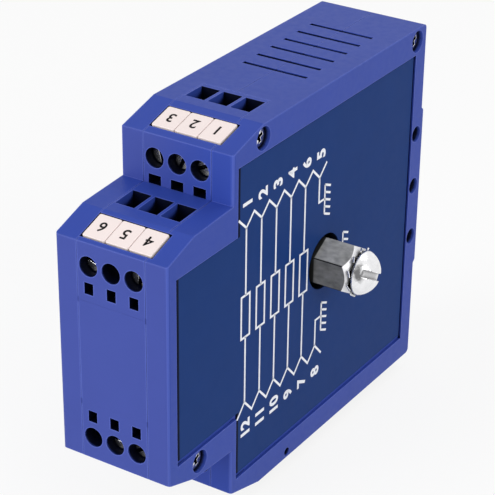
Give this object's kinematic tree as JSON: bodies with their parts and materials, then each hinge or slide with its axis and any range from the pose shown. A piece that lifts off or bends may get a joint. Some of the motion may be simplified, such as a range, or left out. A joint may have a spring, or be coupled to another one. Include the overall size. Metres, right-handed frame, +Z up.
{
  "type": "din rail surge arrester",
  "caption": "Slim stepped blue housing that clips on a top-hat rail, with tiers of screw terminals, white marker tags, a navy side label and a hex earth stud.",
  "frame": {"origin": "on the rail face of the housing, at the centre line of the 35 mm rail and the middle of the width", "axes": "+Y from the front towards the rail, +Z up, +X across the width towards the earth stud"},
  "size_m": [0.0371, 0.0979, 0.0792],
  "materials": {
    "housing_plastic": "fine moulded satin",
    "tag_plastic": "smooth moulded",
    "label_film": "printed satin film",
    "plated_steel": "bright nickel plate",
    "clamp_brass": "tin plated",
    "board_laminate": "solder mask",
    "tube_ceramic": "glazed ceramic",
    "resistor_coat": "cement coat",
    "diode_epoxy": "moulded epoxy",
    "spring_steel": "drawn wire"
  },
  "bodies": {
    "housing": {"right_shell": "housing_plastic", "left_shell": "housing_plastic", "front_panel": "housing_plastic", "terminal_block_1": "housing_plastic", "terminal_block_2": "housing_plastic", "terminal_block_3": "housing_plastic", "terminal_block_4": "housing_plastic", "clamp_set_1": "clamp_brass", "clamp_set_2": "clamp_brass", "clamp_set_3": "clamp_brass", "clamp_set_4": "clamp_brass", "marker_tag_1": "tag_plastic", "marker_tag_2": "tag_plastic", "marker_tag_3": "tag_plastic", "marker_tag_4": "tag_plastic", "marker_tag_5": "tag_plastic", "marker_tag_6": "tag_plastic", "marker_tag_7": "tag_plastic", "marker_tag_8": "tag_plastic", "marker_tag_9": "tag_plastic", "marker_tag_10": "tag_plastic", "marker_tag_11": "tag_plastic", "marker_tag_12": "tag_plastic", "side_label": "label_film", "earth_standoff": "plated_steel", "standoff_screw": "plated_steel", "star_washer": "plated_steel", "earth_screw": "plated_steel", "housing_screws": "plated_steel", "circuit_board": "board_laminate", "gas_tubes": "tube_ceramic", "series_resistors": "resistor_coat", "clamping_diodes": "diode_epoxy", "latch_spring": "spring_steel"},
    "latch": {"rail_latch": "housing_plastic"},
    "plate_1": {"pressure_plate_1": "clamp_brass"},
    "screw_1": {"terminal_screw_1": "plated_steel"},
    "plate_2": {"pressure_plate_2": "clamp_brass"},
    "screw_2": {"terminal_screw_2": "plated_steel"},
    "plate_3": {"pressure_plate_3": "clamp_brass"},
    "screw_3": {"terminal_screw_3": "plated_steel"},
    "plate_4": {"pressure_plate_4": "clamp_brass"},
    "screw_4": {"terminal_screw_4": "plated_steel"},
    "plate_5": {"pressure_plate_5": "clamp_brass"},
    "screw_5": {"terminal_screw_5": "plated_steel"},
    "plate_6": {"pressure_plate_6": "clamp_brass"},
    "screw_6": {"terminal_screw_6": "plated_steel"},
    "plate_7": {"pressure_plate_7": "clamp_brass"},
    "screw_7": {"terminal_screw_7": "plated_steel"},
    "plate_8": {"pressure_plate_8": "clamp_brass"},
    "screw_8": {"terminal_screw_8": "plated_steel"},
    "plate_9": {"pressure_plate_9": "clamp_brass"},
    "screw_9": {"terminal_screw_9": "plated_steel"},
    "plate_10": {"pressure_plate_10": "clamp_brass"},
    "screw_10": {"terminal_screw_10": "plated_steel"},
    "plate_11": {"pressure_plate_11": "clamp_brass"},
    "screw_11": {"terminal_screw_11": "plated_steel"},
    "plate_12": {"pressure_plate_12": "clamp_brass"},
    "screw_12": {"terminal_screw_12": "plated_steel"}
  },
  "joints": [
    {"name": "plate_slide_1", "type": "slide", "parent": "housing", "child": "plate_1", "axis": [0, 1, 0], "range_m": [0, 0.0035]},
    {"name": "screw_turn_1", "type": "hinge", "parent": "plate_1", "child": "screw_1", "pos_m": [-0.00508, -0.0661, 0.0302], "axis": [0, 1, 0], "range_deg": [0, 2520]},
    {"name": "plate_slide_2", "type": "slide", "parent": "housing", "child": "plate_2", "axis": [0, 1, 0], "range_m": [0, 0.0035]},
    {"name": "screw_turn_2", "type": "hinge", "parent": "plate_2", "child": "screw_2", "pos_m": [0, -0.0661, 0.0302], "axis": [0, 1, 0], "range_deg": [0, 2520]},
    {"name": "plate_slide_3", "type": "slide", "parent": "housing", "child": "plate_3", "axis": [0, 1, 0], "range_m": [0, 0.0035]},
    {"name": "screw_turn_3", "type": "hinge", "parent": "plate_3", "child": "screw_3", "pos_m": [0.00508, -0.0661, 0.0302], "axis": [0, 1, 0], "range_deg": [0, 2520]},
    {"name": "plate_slide_4", "type": "slide", "parent": "housing", "child": "plate_4", "axis": [0, 1, 0], "range_m": [0, 0.0035]},
    {"name": "screw_turn_4", "type": "hinge", "parent": "plate_4", "child": "screw_4", "pos_m": [-0.00508, -0.0872, 0.0165], "axis": [0, 1, 0], "range_deg": [0, 2520]},
    {"name": "plate_slide_5", "type": "slide", "parent": "housing", "child": "plate_5", "axis": [0, 1, 0], "range_m": [-0.003, 0.0005]},
    {"name": "screw_turn_5", "type": "hinge", "parent": "plate_5", "child": "screw_5", "pos_m": [0, -0.0872, 0.0165], "axis": [0, 1, 0], "range_deg": [-2160, 360]},
    {"name": "plate_slide_6", "type": "slide", "parent": "housing", "child": "plate_6", "axis": [0, 1, 0], "range_m": [0, 0.0035]},
    {"name": "screw_turn_6", "type": "hinge", "parent": "plate_6", "child": "screw_6", "pos_m": [0.00508, -0.0872, 0.0165], "axis": [0, 1, 0], "range_deg": [0, 2520]},
    {"name": "plate_slide_7", "type": "slide", "parent": "housing", "child": "plate_7", "axis": [0, 1, 0], "range_m": [-0.003, 0.0005]},
    {"name": "screw_turn_7", "type": "hinge", "parent": "plate_7", "child": "screw_7", "pos_m": [-0.00508, -0.0872, -0.0203], "axis": [0, 1, 0], "range_deg": [-2160, 360]},
    {"name": "plate_slide_8", "type": "slide", "parent": "housing", "child": "plate_8", "axis": [0, 1, 0], "range_m": [0, 0.0035]},
    {"name": "screw_turn_8", "type": "hinge", "parent": "plate_8", "child": "screw_8", "pos_m": [0, -0.0872, -0.0203], "axis": [0, 1, 0], "range_deg": [0, 2520]},
    {"name": "plate_slide_9", "type": "slide", "parent": "housing", "child": "plate_9", "axis": [0, 1, 0], "range_m": [0, 0.0035]},
    {"name": "screw_turn_9", "type": "hinge", "parent": "plate_9", "child": "screw_9", "pos_m": [0.00508, -0.0872, -0.0203], "axis": [0, 1, 0], "range_deg": [0, 2520]},
    {"name": "plate_slide_10", "type": "slide", "parent": "housing", "child": "plate_10", "axis": [0, 1, 0], "range_m": [0, 0.0035]},
    {"name": "screw_turn_10", "type": "hinge", "parent": "plate_10", "child": "screw_10", "pos_m": [-0.00508, -0.0661, -0.034], "axis": [0, 1, 0], "range_deg": [0, 2520]},
    {"name": "plate_slide_11", "type": "slide", "parent": "housing", "child": "plate_11", "axis": [0, 1, 0], "range_m": [0, 0.0035]},
    {"name": "screw_turn_11", "type": "hinge", "parent": "plate_11", "child": "screw_11", "pos_m": [0, -0.0661, -0.034], "axis": [0, 1, 0], "range_deg": [0, 2520]},
    {"name": "plate_slide_12", "type": "slide", "parent": "housing", "child": "plate_12", "axis": [0, 1, 0], "range_m": [0, 0.0035]},
    {"name": "screw_turn_12", "type": "hinge", "parent": "plate_12", "child": "screw_12", "pos_m": [0.00508, -0.0661, -0.034], "axis": [0, 1, 0], "range_deg": [0, 2520]},
    {"name": "latch_slide", "type": "slide", "parent": "housing", "child": "latch", "axis": [0, 0, -1], "range_m": [0, 0.003], "stiffness_N_per_m": 400, "springref_m": -0.004, "deforming": ["latch_spring"]}
  ],
  "couplings": [
    {"joint": "screw_turn_1", "follows": "plate_slide_1", "rad_per_m": 12566},
    {"joint": "screw_turn_2", "follows": "plate_slide_2", "rad_per_m": 12566},
    {"joint": "screw_turn_3", "follows": "plate_slide_3", "rad_per_m": 12566},
    {"joint": "screw_turn_4", "follows": "plate_slide_4", "rad_per_m": 12566},
    {"joint": "screw_turn_5", "follows": "plate_slide_5", "rad_per_m": 12566},
    {"joint": "screw_turn_6", "follows": "plate_slide_6", "rad_per_m": 12566},
    {"joint": "screw_turn_7", "follows": "plate_slide_7", "rad_per_m": 12566},
    {"joint": "screw_turn_8", "follows": "plate_slide_8", "rad_per_m": 12566},
    {"joint": "screw_turn_9", "follows": "plate_slide_9", "rad_per_m": 12566},
    {"joint": "screw_turn_10", "follows": "plate_slide_10", "rad_per_m": 12566},
    {"joint": "screw_turn_11", "follows": "plate_slide_11", "rad_per_m": 12566},
    {"joint": "screw_turn_12", "follows": "plate_slide_12", "rad_per_m": 12566}
  ]
}
